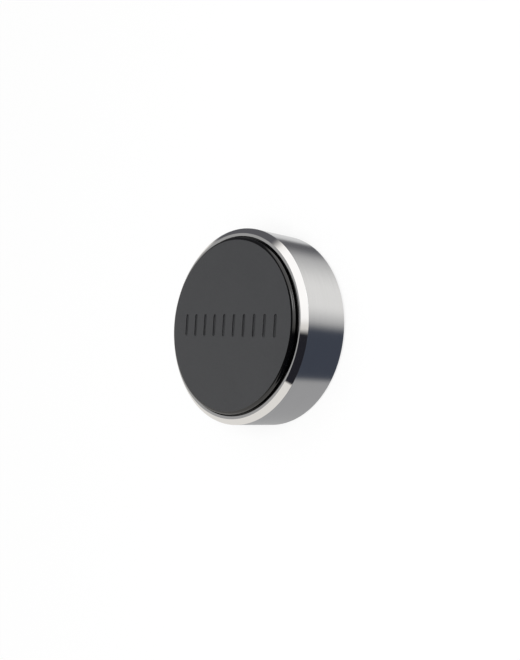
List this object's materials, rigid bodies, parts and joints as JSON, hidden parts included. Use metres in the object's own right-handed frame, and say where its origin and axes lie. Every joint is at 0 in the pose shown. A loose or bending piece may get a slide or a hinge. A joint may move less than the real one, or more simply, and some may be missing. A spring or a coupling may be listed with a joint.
{
  "type": "magnetic phone mount",
  "caption": "Stick-on magnetic phone mount: a short round metal puck with a polished chamfer, a raised rubber pad over magnets and a foam adhesive disc on its back.",
  "frame": {"origin": "centre of the adhesive disc's back face, which is the face that goes on the wall or dashboard", "axes": "+Z out of the rubber pad towards the phone, +X along the row of grip slots, +Y along the slots"},
  "size_m": [0.03, 0.03, 0.0098],
  "materials": {
    "housing_metal": "satin side, polished chamfer and rim",
    "adhesive_foam": "matte closed-cell foam",
    "bonding_film": "thin satin film",
    "yoke_steel": "blanked and zinc plated",
    "carrier_plastic": "moulded, fine texture",
    "magnet_plating": "bright nickel plating",
    "pad_rubber": "matte face with a glossy rounded edge"
  },
  "bodies": {
    "root": {"housing": "housing_metal", "mounting_adhesive": "adhesive_foam", "core_film": "bonding_film", "yoke_plate": "yoke_steel", "magnet_carrier": "carrier_plastic", "magnet_centre": "magnet_plating", "magnet_1": "magnet_plating", "magnet_2": "magnet_plating", "magnet_3": "magnet_plating", "magnet_4": "magnet_plating", "magnet_5": "magnet_plating", "magnet_6": "magnet_plating", "pad_film": "bonding_film", "face_pad": "pad_rubber"}
  },
  "joints": []
}
